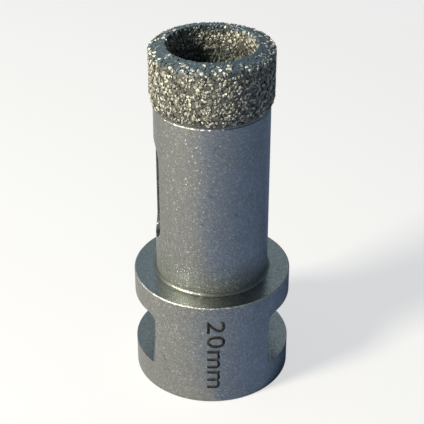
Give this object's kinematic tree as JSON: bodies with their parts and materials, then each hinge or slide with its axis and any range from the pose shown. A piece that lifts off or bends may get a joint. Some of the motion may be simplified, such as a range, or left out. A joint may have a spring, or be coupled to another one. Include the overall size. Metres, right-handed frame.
{
  "type": "diamond core bit",
  "caption": "Dry-drilling core bit with a brazed diamond crown on a slotted steel barrel and a flanged hub with wrench flats and a female M14 spindle thread.",
  "frame": {"origin": "centre of the hub's resting face, on the drilling axis", "axes": "+Z along the drilling axis towards the cutting rim, -Y to the marked front of the hub, -X and +X to the wrench flats"},
  "size_m": [0.0264, 0.0264, 0.0603],
  "materials": {
    "hub_steel": "grit-blasted, nickel-plated",
    "barrel_steel": "grit-blasted, nickel-plated",
    "brazing_metal": "satin",
    "diamond_grit": "rough grains in brazing metal"
  },
  "bodies": {
    "root": {"threaded_hub": "hub_steel", "slotted_barrel": "barrel_steel", "braze_fillet": "brazing_metal", "diamond_crown": "diamond_grit"}
  },
  "joints": []
}
